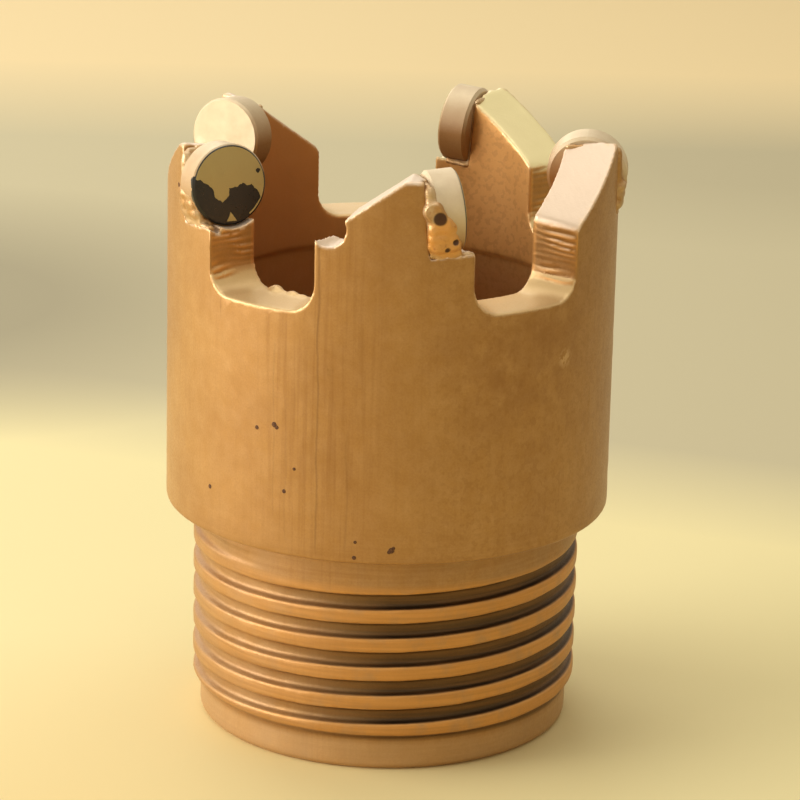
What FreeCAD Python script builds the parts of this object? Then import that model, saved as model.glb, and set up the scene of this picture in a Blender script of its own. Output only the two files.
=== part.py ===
"""Core drilling bit with five polycrystalline diamond compact cutters.

Frame: millimetres, +Z up, origin on the axis at the middle of the shank's end
face, so the bit stands on its shank with the crown up. Angles are in degrees
about Z, zero at the front (-Y) and growing towards +X, which is the way the
teeth cut. Each tooth carries one round cutter in a slot behind its leading face.
"""
import FreeCAD, Part
import math
import os
from FreeCAD import Placement, Rotation, Vector

# Turned body
gauge_radius = 38.0            # outside of the crown barrel
shank_wall = 2.2               # steel between the pilot and the shank's bore
bore_step = 0.8                # the crown's bore is this much smaller than the shank's
bore_step_height = 75.5        # where the wider bore ends, which holds the core lifter
shoulder_height = 38.6         # flat shoulder that the core barrel butts against
barrel_length = 42.0           # shoulder to the floor of the gaps between the teeth
tooth_height = 22.6            # floor of the gaps to the top land of a tooth
inward_fall = 5.0              # degrees that lands and ramps fall towards the bore
shoulder_chamfer = 0.4
end_chamfer = 0.8              # both corners of the shank's end face
land_chamfer = 0.4             # turned on the crown before the teeth were cut

# Shank thread: right-hand, single start, square-shouldered trapezoid
thread_radius = 33.25          # over the crests, and the plain neck above them
thread_pitch = 5.08
thread_depth = 1.25
groove_width = 2.7             # across the groove at the crests
flank_angle = 15.0             # each flank from the square
pilot_length = 5.6             # plain end below the first thread
pilot_clearance = 0.1          # the pilot is this much under the thread's root
groove_phase = 4.96            # height of the groove's middle at the front, lowest turn
groove_entry = 2.06            # the groove starts this far below that, clear of the thread
runout_height = 35.1           # middle of the groove where it has run out under the shoulder
runout_turn = 75.0             # degrees over which it fades to nothing
runout_lift = 0.1              # the tool has left the crests by this much at the end

# Teeth: angle of each leading face. The fifth is set ten degrees late.
leading_angles = [-51.3, 20.8, 92.8, 165.5, 246.9]
tooth_angle = 40.0             # leading face to trailing wall
gap_floor_radius = 4.5         # end mill corner on both sides of a gap's floor
gap_clearance = 1.0            # the end mill runs this far past both faces of the wall
ramp_slope = 35.0              # the back of a tooth falls at this angle
ramp_middle_angle = 27.5       # behind the leading face
ramp_depth = 4.9               # land to ramp there
ramp_offsets = [0.0, 0.4, -0.3, -0.3, 0.0]  # each ramp was set by hand
ramp_corner_radius = 2.0       # between ramp and trailing wall
scalloped_tooth = 1            # the second tooth has an end mill's bite at its ramp's foot
scallop_radius = 3.0
scallop_angle = 36.6           # behind the leading face
scallop_depth = 8.3            # land to its middle

# Cutters: a diamond table on a carbide stud
cutter_diameter = 13.44
cutter_length = 5.0
diamond_thickness = 1.6
diamond_chamfer = 0.35
stud_chamfer = 0.5
back_rake = 5.0                # the face leans back from the cut
side_rake = 5.0                # and is turned outwards
gauge_overhang = 1.4           # cutter past the barrel's outside
land_overhang = 0.8            # cutter past the top land
face_setback_angles = [3.6, 2.5, 3.6, 3.6, 3.6]  # face centre behind the leading face

# Cutter slots and their braze
braze_gap = 0.25               # around the stud and behind it
braze_setback = 0.8            # braze ends this far behind the diamond's face
braze_height = 5.0             # braze climbs this far above the stud's middle
relief_width = 1.2             # the slot is this much wider near the outside
relief_back = 0.9              # and this much longer, for the bead behind the stud
relief_depth = 2.2             # for this much of the wall
relief_fill = -2.0             # height of the braze beside the stud, from its middle

# Worked out from the sizes above
floor_height = shoulder_height + barrel_length
land_height = floor_height + tooth_height
root_radius = thread_radius - thread_depth
pilot_radius = root_radius - pilot_clearance
shank_bore_radius = pilot_radius - shank_wall
crown_bore_radius = shank_bore_radius - bore_step
land_drop = (gauge_radius - crown_bore_radius) * math.tan(math.radians(inward_fall))
cutter_radius = cutter_diameter / 2
cutter_centre_radius = (gauge_radius + gauge_overhang
                        - cutter_radius * math.cos(math.radians(side_rake)))
cutter_centre_height = (land_height + land_overhang
                        - cutter_radius * math.cos(math.radians(back_rake)))
seat_radius = cutter_radius + braze_gap
seat_back = -(cutter_length + braze_gap)
relief_radius = seat_radius + relief_width
reach = 2 * cutter_diameter    # tools run this far past what they cut

UP = Vector(0, 0, 1)
ORIGIN = Vector(0, 0, 0)


def polar(angle, radius, height):
    """A point at an angle from the front, a radius and a height."""
    turn = math.radians(angle)
    return Vector(radius * math.sin(turn), -radius * math.cos(turn), height)


def turned(points):
    """A solid turned from (radius, height) points."""
    corners = [Vector(radius, 0, height) for radius, height in points]
    face = Part.Face(Part.makePolygon(corners + corners[:1]))
    return face.revolve(ORIGIN, UP, 360)


def at_angle(shape, angle):
    """A copy of a shape made at the front, turned to an angle."""
    copy = shape.copy()
    copy.rotate(ORIGIN, UP, angle)
    return copy


def body_blank():
    """The turned body before thread and teeth."""
    lead_in = thread_radius - pilot_radius
    return turned([
        (shank_bore_radius + end_chamfer, 0),
        (pilot_radius - end_chamfer, 0),
        (pilot_radius, end_chamfer),
        (pilot_radius, pilot_length),
        (thread_radius, pilot_length + lead_in),
        (thread_radius, shoulder_height),
        (gauge_radius - shoulder_chamfer, shoulder_height),
        (gauge_radius, shoulder_height + shoulder_chamfer),
        (gauge_radius, land_height - land_chamfer),
        (gauge_radius - land_chamfer, land_height),
        (crown_bore_radius, land_height - land_drop),
        (crown_bore_radius, bore_step_height),
        (shank_bore_radius, bore_step_height - bore_step),
        (shank_bore_radius, end_chamfer),
    ])


def groove_profile(start_angle, start_height):
    """The groove's trapezoid in the radial plane at an angle."""
    slant = math.tan(math.radians(flank_angle))
    outside = thread_depth / 2
    half_root = groove_width / 2 - thread_depth * slant
    half_mouth = groove_width / 2 + outside * slant
    corners = [
        (root_radius, -half_root),
        (thread_radius + outside, -half_mouth),
        (thread_radius + outside, half_mouth),
        (root_radius, half_root),
    ]
    points = [polar(start_angle, radius, start_height + rise) for radius, rise in corners]
    return Part.makePolygon(points + points[:1])


def helix_cut(start_angle, start_height, turn, cone=0.0):
    """The groove's solid along a helix, which climbs outwards where cone isn't nought."""
    climb = thread_pitch * turn / 360
    spine = Part.makeHelix(thread_pitch, climb, root_radius, cone)
    spine.rotate(ORIGIN, UP, start_angle - 90)
    spine.translate(Vector(0, 0, start_height))
    profile = groove_profile(start_angle, start_height)
    return Part.Wire(spine.Edges).makePipeShell([profile], True, True)


def thread_groove():
    """The whole groove: full depth, then fading out under the shoulder."""
    turn_per_height = 360 / thread_pitch
    start_angle = -groove_entry * turn_per_height
    start_height = groove_phase - groove_entry
    end_angle = (runout_height - groove_phase) * turn_per_height
    full_turn = end_angle - runout_turn - start_angle
    full = helix_cut(start_angle, start_height, full_turn)
    fade_climb = thread_pitch * runout_turn / 360
    cone = math.degrees(math.atan((thread_depth + runout_lift) / fade_climb))
    fade = helix_cut(start_angle + full_turn, runout_height - fade_climb, runout_turn, cone)
    return [full, fade]


def gap_tool(start_angle, end_angle):
    """The gap between two teeth, with radial walls and rounded floor corners."""
    inner = crown_bore_radius - gap_clearance
    outer = gauge_radius + gap_clearance
    top = land_height + tooth_height
    points = [
        polar(start_angle, inner, floor_height),
        polar(start_angle, outer, floor_height),
        polar(start_angle, outer, top),
        polar(start_angle, inner, top),
    ]
    face = Part.Face(Part.makePolygon(points + points[:1]))
    gap = face.revolve(ORIGIN, UP, end_angle - start_angle)
    corners = []
    for edge in gap.Edges:
        on_floor = all(abs(vertex.Z - floor_height) < 1e-6 for vertex in edge.Vertexes)
        if on_floor and isinstance(edge.Curve, Part.Line):
            corners.append(edge)
    return gap.makeFillet(gap_floor_radius, corners)


def ramp_tool(leading_angle, offset):
    """The cut that slopes a tooth's back down behind its land, and in towards the bore."""
    slope = math.tan(math.radians(ramp_slope))
    drop = math.tan(math.radians(inward_fall))
    middle = land_height - ramp_depth + offset
    back = gauge_radius * math.sin(math.radians(tooth_angle - ramp_middle_angle)) + gap_floor_radius
    top = land_height + gap_floor_radius
    outer = gauge_radius + relief_depth
    depth = outer - crown_bore_radius + relief_depth
    corners = [
        (-back, middle - back * slope),
        ((top - middle) / slope, top),
        (-back, top),
    ]
    points = [Vector(across, -outer, height + relief_depth * drop) for across, height in corners]
    face = Part.Face(Part.makePolygon(points + points[:1]))
    ramp = face.extrude(Vector(0, depth, -depth * drop))
    return at_angle(ramp, leading_angle - ramp_middle_angle)


def scallop_tool(leading_angle):
    """The bite of an end mill at a ramp's foot, falling towards the bore as the ramp does."""
    drop = math.tan(math.radians(inward_fall))
    outer = gauge_radius + relief_depth
    depth = outer - crown_bore_radius + relief_depth
    start = Vector(0, -outer, land_height - scallop_depth + relief_depth * drop)
    mill = Part.makeCylinder(scallop_radius, depth, start, Vector(0, 1, -drop))
    return at_angle(mill, leading_angle - scallop_angle)


def at_cutter(shape, tooth):
    """A copy of a shape made round a cutter face at the origin, moved to its tooth.

    In the shape's own frame +X is the face's normal, +Z is up and -Y is outwards.
    """
    rakes = Rotation(UP, -side_rake).multiply(Rotation(Vector(0, 1, 0), -back_rake))
    seat = Placement(Vector(0, -cutter_centre_radius, cutter_centre_height), rakes)
    angle = leading_angles[tooth] - face_setback_angles[tooth]
    copy = shape.copy()
    copy.Placement = Placement(ORIGIN, Rotation(UP, angle)).multiply(seat)
    return copy


def rod(radius, start, end):
    """A round bar along X."""
    return Part.makeCylinder(radius, end - start, Vector(start, 0, 0), Vector(1, 0, 0))


def slot(radius, back, front):
    """A round-bottomed slot along X, open at the top."""
    walls = Part.makeBox(front - back, 2 * radius, reach, Vector(back, -radius, 0))
    return rod(radius, back, front).fuse(walls)


def diamond_table():
    """The diamond layer, its face at X = 0."""
    table = rod(cutter_radius, -diamond_thickness, 0)
    rim = [edge for edge in table.Edges if edge.Length > cutter_radius and edge.CenterOfMass.x > -1e-6]
    return table.makeChamfer(diamond_chamfer, rim)


def carbide_stud():
    """The carbide stud behind the diamond."""
    stud = rod(cutter_radius, -cutter_length, -diamond_thickness)
    rim = [edge for edge in stud.Edges
           if edge.Length > cutter_radius and edge.CenterOfMass.x < -cutter_length + 1e-6]
    return stud.makeChamfer(stud_chamfer, rim)


def outside_core(shape):
    """The part of a shape that lies in the outer layer of the wall, where the relief is."""
    core = Part.makeCylinder(gauge_radius - relief_depth, land_height + tooth_height)
    return shape.cut(core)


def slot_tools(tooth):
    """The cutter's seat and the wider relief at the outside of the wall."""
    seat = at_cutter(slot(seat_radius, seat_back, cutter_length), tooth)
    relief = at_cutter(slot(relief_radius, seat_back - relief_back, cutter_length), tooth)
    return seat.fuse(outside_core(relief))


def filled_to(radius, back, front, height):
    """What braze takes up in a length of a slot, up to a height."""
    above = Part.makeBox(reach, reach, reach, Vector(-reach, -reach / 2, height))
    return slot(radius, back, front).cut(above)


def braze_joint(crown, tooth):
    """The braze between stud and slot, as far up as it climbs."""
    seat = at_cutter(filled_to(seat_radius, seat_back, -braze_setback, braze_height), tooth)
    bead = filled_to(relief_radius, seat_back - relief_back, -cutter_length, braze_height)
    side = filled_to(relief_radius, seat_back - relief_back, -braze_setback, relief_fill)
    relief = outside_core(at_cutter(bead.fuse(side), tooth))
    cutter = at_cutter(rod(cutter_radius, -cutter_length, 0), tooth)
    return crown.common(seat.fuse(relief)).cut(cutter)


def round_ramp_corner(crown, leading_angle):
    """Rounds the edge between a tooth's ramp and its trailing wall."""
    outward = polar(leading_angle - tooth_angle, 1, 0)
    across = UP.cross(outward)
    chosen = []
    for edge in crown.Edges:
        if not isinstance(edge.Curve, Part.Line):
            continue
        middle = edge.CenterOfMass
        in_wall = abs(middle.dot(across)) < 1e-3 and middle.dot(outward) > 0
        level = abs(edge.Vertexes[0].Z - edge.Vertexes[-1].Z) < edge.Length / 2
        if in_wall and level and middle.z > floor_height + gap_floor_radius:
            chosen.append(edge)
    return crown.makeFillet(ramp_corner_radius, chosen)


def crown_body():
    """The body with thread and teeth, before the cutter slots."""
    body = body_blank()
    for groove in thread_groove():
        body = body.cut(groove)
    count = len(leading_angles)
    for tooth, leading in enumerate(leading_angles):
        ahead = leading_angles[(tooth + 1) % count] + (360 if tooth == count - 1 else 0)
        body = body.cut(gap_tool(leading, ahead - tooth_angle))
        body = body.cut(ramp_tool(leading, ramp_offsets[tooth]))
    for tooth, leading in enumerate(leading_angles):
        if tooth == scalloped_tooth:
            body = body.cut(scallop_tool(leading))
        else:
            body = round_ramp_corner(body, leading)
    return body


def one_solid(shape, name):
    """The shape's single solid, or an error that says what it is instead."""
    if len(shape.Solids) != 1 or not shape.isValid():
        raise ValueError(f"{name}: {len(shape.Solids)} solids, valid {shape.isValid()}")
    return shape.Solids[0]


def main():
    pieces = {}
    crown = crown_body()
    body = crown
    for tooth in range(len(leading_angles)):
        number = tooth + 1
        body = body.cut(slot_tools(tooth))
        pieces[f"diamond_table_{number}"] = at_cutter(diamond_table(), tooth)
        pieces[f"carbide_stud_{number}"] = at_cutter(carbide_stud(), tooth)
        pieces[f"braze_joint_{number}"] = braze_joint(crown, tooth)
    pieces["steel_body"] = body
    os.makedirs("parts", exist_ok=True)
    for name, shape in pieces.items():
        one_solid(shape, name).exportStep(f"parts/{name}.step")


main()
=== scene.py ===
"""Core drill bit: the looks of a painted coring bit, dressed round its solids.

Everything is in metres, in the frame of the solids: the shank's end face lies at
Z = 0, the bore's axis is Z, and the camera looks from -Y. Angles round the axis
are in degrees from the front (-Y) towards +X, which is the way the teeth cut.
"""

import math
import random

import bmesh
import bpy
import numpy as np
from bpy.props import FloatProperty, FloatVectorProperty, IntProperty, PointerProperty
from mathutils import Matrix, Vector
from mathutils.geometry import delaunay_2d_cdt


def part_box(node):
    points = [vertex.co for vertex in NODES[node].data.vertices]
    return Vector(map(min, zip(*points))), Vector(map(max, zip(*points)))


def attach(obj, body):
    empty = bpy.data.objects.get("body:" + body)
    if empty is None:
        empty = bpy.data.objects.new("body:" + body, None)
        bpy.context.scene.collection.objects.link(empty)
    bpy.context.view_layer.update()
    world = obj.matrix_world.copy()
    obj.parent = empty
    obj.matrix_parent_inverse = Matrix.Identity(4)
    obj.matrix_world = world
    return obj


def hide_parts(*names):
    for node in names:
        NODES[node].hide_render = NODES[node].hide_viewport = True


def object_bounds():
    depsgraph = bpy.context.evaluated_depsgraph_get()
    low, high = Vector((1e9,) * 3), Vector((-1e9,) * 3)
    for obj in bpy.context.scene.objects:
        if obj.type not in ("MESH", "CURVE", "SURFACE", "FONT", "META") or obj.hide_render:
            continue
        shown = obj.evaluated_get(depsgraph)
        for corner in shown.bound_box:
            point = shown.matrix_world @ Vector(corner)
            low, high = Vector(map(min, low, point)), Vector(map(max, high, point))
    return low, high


bl_info = {
    "name": "Core Bit Looks",
    "version": (1, 0, 0),
    "blender": (4, 5, 0),
    "location": "3D View > Sidebar > Core Bit",
    "description": "Paints, brazes and lights a core drill bit round its packed solids",
    "category": "Object",
}

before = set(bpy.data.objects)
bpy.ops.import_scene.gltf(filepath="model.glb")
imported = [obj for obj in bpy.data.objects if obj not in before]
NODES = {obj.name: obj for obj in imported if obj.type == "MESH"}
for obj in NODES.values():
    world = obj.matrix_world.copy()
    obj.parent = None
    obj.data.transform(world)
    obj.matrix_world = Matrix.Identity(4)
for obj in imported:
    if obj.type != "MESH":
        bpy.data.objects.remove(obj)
CAD_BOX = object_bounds()
MM = 0.001
CUTTERS = range(1, 6)

# The bit's own measures

BODY_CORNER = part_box("steel_body")[1]
GAUGE_RADIUS = BODY_CORNER.x
FLOOR_HEIGHT = BODY_CORNER.z - 22.6 * MM   # of the gaps between the teeth
CROWN_BORE = 28.9 * MM         # radius of the bore in the crown
SHANK_BORE = 29.7 * MM         # and below it
BORE_STEP = 75.5 * MM          # height where the one becomes the other
SHOULDER = 38.6 * MM
NECK_RADIUS = 33.25 * MM       # of the neck and of the thread's crests
THREAD_END = 33.5 * MM         # height where the thread's crests melt into the neck
PILOT_TOP = 5.6 * MM
THREAD_PITCH = 5.08 * MM
GROOVE_MIDDLE = 4.96 * MM      # height of the thread's lowest groove at the front
GROOVE_SHARE = 0.53            # how much of the pitch the groove takes up


def linear(hex_colour):
    """An sRGB hex colour as linear red, green, blue and an alpha of one."""
    channels = [int(hex_colour[i:i + 2], 16) / 255 for i in (1, 3, 5)]
    turned = [c / 12.92 if c <= 0.04045 else ((c + 0.055) / 1.055) ** 2.4 for c in channels]
    return (*turned, 1.0)


def colour(name, description, hex_colour):
    """A colour property with its default from a hex value."""
    return FloatVectorProperty(name=name, description=description, subtype="COLOR", size=4,
                               min=0, max=1, default=linear(hex_colour))


def length(name, description, default):
    """A length property in metres."""
    return FloatProperty(name=name, description=description, unit="LENGTH", default=default,
                         min=0, precision=6)


def power(name, description, default):
    """A softbox's power, in watts."""
    return FloatProperty(name=name, description=description, subtype="POWER", default=default, min=0)


class BitColours(bpy.types.PropertyGroup):
    """Colours of the bit's finishes"""
    paint: colour("Paint", "Bronze paint on the barrel and teeth", "#B3854A")
    # paint_pale also makes the painted highlight along rubbed edges
    paint_pale: colour("Pale paint", "Bronze paint where it lies thick or is rubbed", "#DDB683")
    # paint_deep also makes the painted shade in hollows and on the cutters' lower sides
    paint_deep: colour("Deep paint", "Bronze paint in mottled patches", "#90612F")
    # bore: redder, darker paint on the crown's left inner wall and deep in the bore is painted shade; in
    # the braze it is brown flux
    bore: colour("Bore", "Thin paint over primer inside the bore", "#A9683C")
    # inner: lighter, oranger paint inside the crown, painted light standing for the light and bounce on
    # its inner walls
    inner: colour("Inner wall", "Thin, orange paint inside the crown", "#E5A75C")
    # top, gap and thick: paler paint on what faces up in the crown, a painted highlight
    top: colour("Tops", "Thick, pale paint on the teeth's sloping tops", "#D8C2A9")
    gap: colour("Gap floors", "Thick, yellower paint on the gaps' floors", "#DDC08A")
    thick: colour("Thickest paint", "Paint on the far right tooth's top", "#F7EAB4")
    cream: colour("Cream", "Thick, smooth paint on ground carbide", "#DFCAA4")
    film: colour("Film", "Thin paint that still sticks to a cutter's face", "#B7A46C")
    # crest: oranger paint on the thread's crests, kept strong on the shaded right as a painted lift of
    # light; also the painted highlight on mill ridges and braze
    crest: colour("Crest", "Paint on the thread's crests", "#D9994A")
    # grime and groove_grime_and_shade: greasy steel in the thread's grooves, with painted shade there that
    # fades out towards the lit left
    grime_and_shade: colour("Grime", "Worn, greasy steel in the thread's grooves", "#5A4228")
    groove_grime_and_shade: colour("Black grime", "Old grease along the bottom of each groove", "#1F160C")
    worn: colour("Worn", "Thin paint on the handled shank", "#A68660")
    diamond: colour("Diamond", "Bare polycrystalline diamond", "#14110E")
    speck: colour("Speck", "Rust where a chip has come off the paint", "#3A1D10")


class BitSizes(bpy.types.PropertyGroup):
    """Sizes of the bit's surface detail"""
    body_grid: length("Body grid", "Cell of the grid that rounds the body's edges", 0.3 * MM)
    braze_grid: length("Braze grid", "Cell of the grid that joins the braze's lumps", 0.18 * MM)
    mill_step: length("Milling step", "Spacing of the end mill's marks on a tooth's walls", 1.05 * MM)
    mill_depth: length("Milling depth", "Height of those marks", 0.12 * MM)
    film: length("Paint film", "Thickness of the paint left on a cutter's face", 0.08 * MM)
    seed: IntProperty(name="Seed", description="Seed of everything random", default=7, min=0)
    body_faces: IntProperty(name="Body faces", description="Triangles that the body may have",
                            default=170000, min=10000)


class BitStage(bpy.types.PropertyGroup):
    """The table, its light and the camera"""
    floor_near: colour("Near floor", "Pale table under and before the bit", "#F4E3A4")
    floor_far: colour("Far floor", "Table behind the bit", "#C9BC93")
    floor_end: colour("Floor's end", "Table far behind the bit", "#F0D69E")
    floor_front: colour("Floor's front", "Table right before the bit", "#EFD592")
    # a painted shadow on the table behind the bit
    painted_floor_shadow: colour("Floor's shade", "Duller patch of the table behind, on the left", "#A39877")
    backdrop: colour("Backdrop", "What reflections see past the table", "#F3E6C8")
    sky: colour("Sky", "Soft light from all round", "#FFF3E0")
    sky_strength: FloatProperty(name="Sky strength", description="Strength of the soft light",
                                default=0.25, min=0)
    back_power: power("Back power", "Softbox behind, on the left", 3.2)
    side_power: power("Side power", "Softbox on the left", 6.8)
    low_power: power("Low power", "Softbox low on the left", 5.2)
    top_power: power("Top power", "Softbox overhead", 4.3)
    front_power: power("Front power", "Softbox above the camera", 1.0)
    lens: FloatProperty(name="Lens", description="Focal length in millimetres", default=169.9)


# Node trees

PAINT_METAL = 0.42             # how far the paint's flakes shine as metal does
GREASE_METAL = 0.75            # and the handled steel in the thread's grooves
CREAM_METAL = 0.18             # and paint that lies thick, with its flakes sunk in it
UPRIGHT = (1, 1, 0.035)        # draws a pattern out along the bit's axis
AROUND = (0.03, 0.03, 1)       # draws it out round the axis
FLAT = (1, 1, 0)               # leaves only where a point lies seen from above


def put(near, kind, inputs=None, **settings):
    """Adds a node to the tree that something lies in, or to a tree itself, with its
    settings, and fills its inputs with values or links."""
    tree = near.id_data
    node = tree.nodes.new(kind)
    for name, value in settings.items():
        setattr(node, name, value)
    for name, value in (inputs or {}).items():
        if isinstance(value, bpy.types.NodeSocket):
            tree.links.new(value, node.inputs[name])
        else:
            node.inputs[name].default_value = value
    return node


def new_material(name):
    """An empty node material, and where each point lies on the bit."""
    made = bpy.data.materials.new(name)
    made.use_nodes = True
    made.node_tree.nodes.clear()
    return made, put(made.node_tree, "ShaderNodeTexCoord").outputs["Object"]


def ramp(value, low, high, least=0.0, most=1.0):
    """The least, by default nought, where a value is low, and the most, one, where it is high."""
    given = {"Value": value, "From Min": low, "From Max": high, "To Min": least, "To Max": most}
    return put(value, "ShaderNodeMapRange", given).outputs["Result"]


def spots(where, size, low, high, detail=4.0):
    """Noise of a size in millimetres, pushed apart to between nought and one."""
    grain = put(where, "ShaderNodeTexNoise", {"Vector": where, "Scale": 1 / (size * MM), "Detail": detail})
    return ramp(grain.outputs["Fac"], low, high)


def patch(where, middle, reach, core):
    """One round a place, as far as its core, falling to nought at its reach, both in millimetres."""
    away = put(where, "ShaderNodeVectorMath", {0: where, 1: middle}, operation="DISTANCE")
    return ramp(away.outputs["Value"], reach * MM, core * MM)


def socket_in(*values):
    """The first of some values that is a node's socket."""
    return next(value for value in values if isinstance(value, bpy.types.NodeSocket))


def combine(operation, *numbers):
    """Numbers combined, one after another."""
    total = numbers[0]
    for number in numbers[1:]:
        total = put(socket_in(total, number), "ShaderNodeMath", {0: total, 1: number},
                    operation=operation).outputs[0]
    return total


def product(*numbers):
    """Numbers multiplied together."""
    return combine("MULTIPLY", *numbers)


def coat(tone, *layers):
    """A colour with others laid over it in turn, each with a share and a strength."""
    for share, over, strength in layers:
        near = socket_in(share, tone)
        scaled = put(near, "ShaderNodeMath", {0: share, 1: strength}, operation="MULTIPLY").outputs[0]
        tone = put(near, "ShaderNodeMix", {0: scaled, 6: tone, 7: over}, data_type="RGBA").outputs[2]
    return tone


def stretched(where, scale):
    """Points whose pattern is drawn out along an axis."""
    return put(where, "ShaderNodeMapping", {"Vector": where, "Scale": scale}).outputs["Vector"]


def wavering(where, size, amount):
    """Noise of a size, up and down by half an amount, both in millimetres."""
    noise = put(where, "ShaderNodeTexNoise", {"Vector": where, "Scale": 1 / (size * MM), "Detail": 4.0})
    return product(combine("SUBTRACT", noise.outputs["Fac"], 0.5), amount * MM)


def paint_layers(colours, where):
    """The bronze paint's colour, roughness and height, shared by all that was sprayed."""
    mottle = spots(where, 11, 0.35, 0.7, detail=2.0)
    cloud = spots(where, 2.6, 0.35, 0.75)
    runs = spots(stretched(where, UPRIGHT), 0.8, 0.5, 0.78, detail=3.0)
    grain = spots(where, 0.32, 0.3, 0.75, detail=2.0)
    tone = coat(colours.paint,
                (mottle, colours.paint_deep, 0.28),
                (cloud, colours.paint_pale, 0.15),
                (runs, colours.paint_deep, 0.16),
                (grain, colours.paint_deep, 0.22))
    rough = ramp(grain, 0.0, 1.0, 0.34, 0.48)
    return tone, rough, combine("ADD", product(grain, 0.5), cloud)


def from_axis(parts):
    """Each point's distance from the bore's axis."""
    flat = put(parts["X"], "ShaderNodeCombineXYZ", {"X": parts["X"], "Y": parts["Y"]}).outputs["Vector"]
    return put(flat, "ShaderNodeVectorMath", {0: flat}, operation="LENGTH").outputs["Value"]


def cream_where_lit(where):
    """How much cream each point of a cutter gets: most on top and outside, least below and inside, and
    less round one patch by the first cutter; this is painted light and shade.
    """
    parts = put(where, "ShaderNodeSeparateXYZ", {"Vector": where}).outputs
    seat = cutter_seat(1)
    out = combine("SUBTRACT", from_axis(parts), seat[0].xy.length)
    rise = combine("SUBTRACT", parts["Z"], seat[0].z)
    reach = combine("ADD", product(out, 0.35), product(rise, 0.85))
    darker_patch = patch(where, on_seat(seat, 5.0, -1.0, 3.0), 9, 3)
    return product(ramp(reach, -3.0 * MM, 3.5 * MM), ramp(darker_patch, 1.7, 0.0))


def cream_layers(colours, where, lit_share=1.0):
    """The same where it lies on ground carbide: cream, with the bronze in patches, and darker bronze
    where the lit share is low, as painted shade."""
    tone, rough, height = paint_layers(colours, where)
    patches = spots(where, 3, 0.3, 0.65)
    tone = coat(tone,
                (1.0, colours.paint_deep, 0.6),
                (ramp(patches, 0.0, 1.0, 0.78, 0.98), colours.cream, lit_share))
    return tone, combine("ADD", rough, 0.14), height


def satin(tone, rough, height, metallic, strength, distance):
    """A satin surface with a fine relief."""
    bump = put(height, "ShaderNodeBump", {"Height": height, "Strength": strength, "Distance": distance})
    return put(height, "ShaderNodeBsdfPrincipled", {
        "Base Color": tone, "Roughness": rough, "Metallic": metallic, "Normal": bump.outputs["Normal"]})


def show(shader):
    """Sends a shader to the material's output."""
    put(shader, "ShaderNodeOutputMaterial", {"Surface": shader.outputs[0]})


def turn_from_front(parts):
    """Each point's angle round the axis, in radians from the front."""
    return combine("ARCTAN2", parts["X"], product(parts["Y"], -1.0))


def groove_rise(parts):
    """Where a point lies across the thread's groove: nought at its lower edge, one at its upper."""
    climb = product(turn_from_front(parts), THREAD_PITCH / (2 * math.pi))
    above = combine("SUBTRACT", parts["Z"], GROOVE_MIDDLE, climb)
    across = combine("FLOORED_MODULO", combine("ADD", above, THREAD_PITCH / 2), THREAD_PITCH)
    edge = THREAD_PITCH * (1 - GROOVE_SHARE) / 2
    return ramp(across, edge, THREAD_PITCH - edge)


# Scratches down the barrel: angle, lowest and highest point in millimetres, and strength
SCRATCHES = [(-17.6, 39, 101, 0.5), (-9.9, 39, 62, 0.25), (-47.2, 76, 82, 0.5), (-29.2, 44, 76, 0.25),
             (-25.8, 40, 66, 0.2)]


def scratches(parts, where):
    """Thin, wavering lines down the barrel, as its handling left them."""
    turn = turn_from_front(parts)
    sway = wavering(where, 9, 1.3)
    total = 0.0
    for angle, lowest, highest, strength in SCRATCHES:
        away = product(combine("SUBTRACT", turn, math.radians(angle)), GAUGE_RADIUS)
        across = combine("ABSOLUTE", combine("ADD", away, sway), 0.0)
        line = product(ramp(across, 0.27 * MM, 0.03 * MM), strength,
                       ramp(parts["Z"], lowest * MM, (lowest + 3) * MM),
                       ramp(parts["Z"], highest * MM, (highest - 3) * MM))
        total = combine("ADD", line, total)
    return total


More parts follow.
